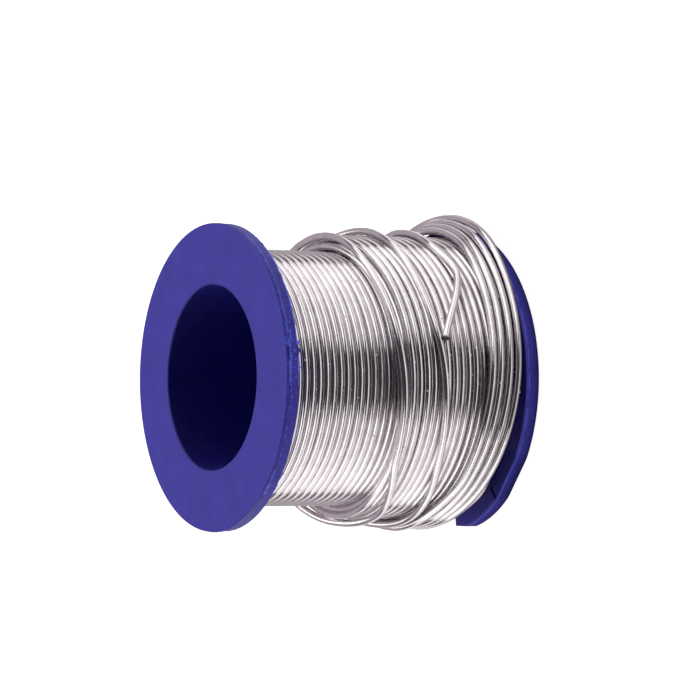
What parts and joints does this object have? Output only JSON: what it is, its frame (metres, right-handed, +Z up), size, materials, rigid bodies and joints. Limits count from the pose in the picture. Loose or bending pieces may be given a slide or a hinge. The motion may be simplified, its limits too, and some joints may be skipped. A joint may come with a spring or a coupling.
{
  "type": "solder wire spool",
  "caption": "Moulded plastic spool with two round flanges and a wide central bore, wound with solder wire whose cut end lies on the coil.",
  "frame": {"origin": "centre of the bottom flange's outer face, on the spool's axis, where the spool stands", "axes": "+Z up the spool's axis, from the bottom flange to the top flange; -Y is the side where the wire's cut end lies; +X is the side where the slack turns stand off furthest"},
  "size_m": [0.0436, 0.0424, 0.0395],
  "materials": {
    "spool_plastic": "satin moulded blue plastic",
    "solder": "bright drawn solder wire",
    "flux": "rosin"
  },
  "bodies": {
    "root": {"spool": "spool_plastic", "wire_winding": "solder", "slack_turns": "solder", "wire_free_end": "solder", "flux_core": "flux"}
  },
  "joints": []
}
